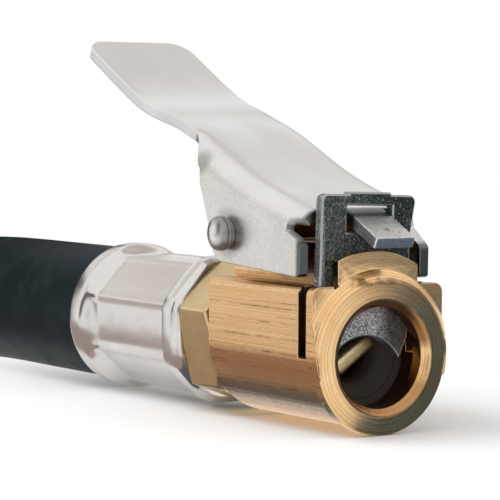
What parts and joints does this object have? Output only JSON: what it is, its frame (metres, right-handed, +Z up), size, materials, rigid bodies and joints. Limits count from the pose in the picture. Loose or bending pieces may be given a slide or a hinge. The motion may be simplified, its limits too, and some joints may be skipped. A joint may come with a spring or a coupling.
{
  "type": "tyre valve chuck with hose",
  "caption": "Clip-on tyre valve chuck with a sprung lever lock and sliding jaw, crimped to a short rubber air hose that ends in a male pipe fitting.",
  "frame": {"origin": "centre of the mouth, where its bore meets the bevel of the rim", "axes": "+X out of the mouth towards the tyre valve, +Z up towards the lever, +Y to the side away from the pin's turned end"},
  "size_m": [0.1657, 0.1427, 0.0399],
  "materials": {
    "brass": "turned and drawn brass, satin",
    "nickel": "satin nickel plate",
    "ferrule_nickel": "bright nickel plate",
    "steel": "grainy tumbled steel",
    "spring_steel": "bright spring wire",
    "rubber": "smooth black rubber",
    "fibre": "dull red sealing fibre"
  },
  "bodies": {
    "housing": {"body": "brass", "mouth_gasket": "rubber", "gasket_washer": "brass", "lever_pin": "nickel", "pin_ring": "nickel", "lever_spring": "spring_steel", "poppet_spring": "spring_steel", "hose_tail": "brass", "tail_washer": "nickel", "ferrule": "ferrule_nickel", "hose_end": "rubber", "hose": "rubber", "far_hose_end": "rubber", "far_ferrule": "ferrule_nickel", "far_tail": "brass", "far_washer": "fibre"},
    "lever": {"lever": "nickel"},
    "jaw": {"jaw_plate": "steel"},
    "depressor": {"depressor": "brass", "poppet_seal": "rubber"}
  },
  "joints": [
    {"name": "lever_hinge", "type": "hinge", "parent": "housing", "child": "lever", "pos_m": [-0.0157, 0, 0.0118], "axis": [0, -1, 0], "range_deg": [0, 11], "stiffness_Nm_per_rad": 0.15, "springref_deg": -34.38, "deforming": ["lever_spring"]},
    {"name": "jaw_slide", "type": "slide", "parent": "housing", "child": "jaw", "axis": [0, 0, 1], "range_m": [0, 0.00262]},
    {"name": "depressor_slide", "type": "slide", "parent": "housing", "child": "depressor", "axis": [-1, 0, 0], "range_m": [0, 0.0016], "stiffness_N_per_m": 800, "springref_m": -0.002, "deforming": ["poppet_spring"]}
  ],
  "couplings": [
    {"joint": "jaw_slide", "follows": "lever_hinge", "m_per_rad": 0.01365}
  ]
}
